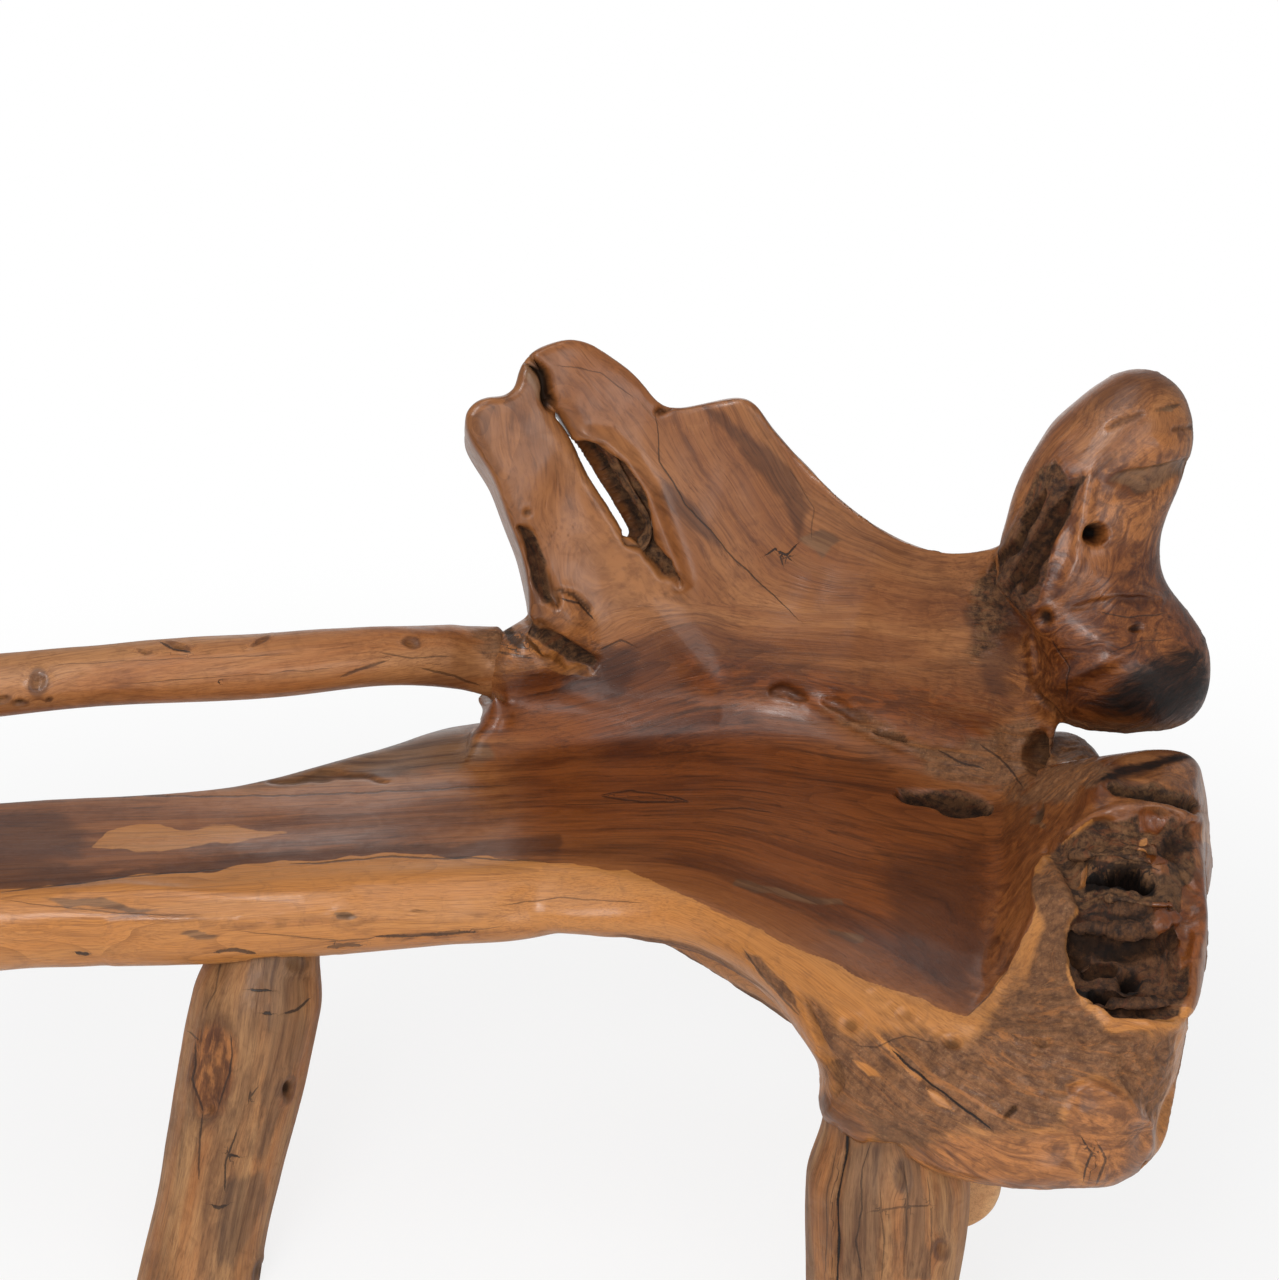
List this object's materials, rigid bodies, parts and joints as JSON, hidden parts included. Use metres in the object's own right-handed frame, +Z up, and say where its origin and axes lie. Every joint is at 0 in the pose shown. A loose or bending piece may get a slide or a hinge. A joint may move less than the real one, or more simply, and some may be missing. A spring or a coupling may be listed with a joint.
{
  "type": "bench",
  "caption": "Teak root bench: a carved root forms the seat, coved back, horn and low arm, on peeled log legs, with a branch as back rail",
  "frame": {"origin": "on the floor, under the middle of the whole bench's bounding box", "axes": "+Z up, +X along the seat towards the root end with the horn and arm, +Y towards the back"},
  "size_m": [1.4571, 0.8432, 0.894],
  "materials": {
    "carved_root": "polished teak root",
    "branch_teak": "satin peeled branch",
    "bearer_teak": "satin turned log",
    "peeled_log": "satin peeled log",
    "peg_wood": "plain hard wood",
    "zinc_screw": "zinc plated"
  },
  "bodies": {
    "root": {"root_seat": "carved_root", "back_rail": "branch_teak", "rail_post": "branch_teak", "right_bearer": "bearer_teak", "bearer_screws": "zinc_screw", "bearer_washers": "zinc_screw", "rail_peg": "peg_wood", "post_pegs": "peg_wood", "front_left_leg": "peeled_log", "rear_left_leg": "peeled_log", "front_right_leg": "peeled_log", "rear_right_leg": "peeled_log", "front_left_leg_wedge": "peg_wood", "rear_left_leg_wedge": "peg_wood", "front_right_leg_wedge": "peg_wood", "rear_right_leg_wedge": "peg_wood"}
  },
  "joints": []
}
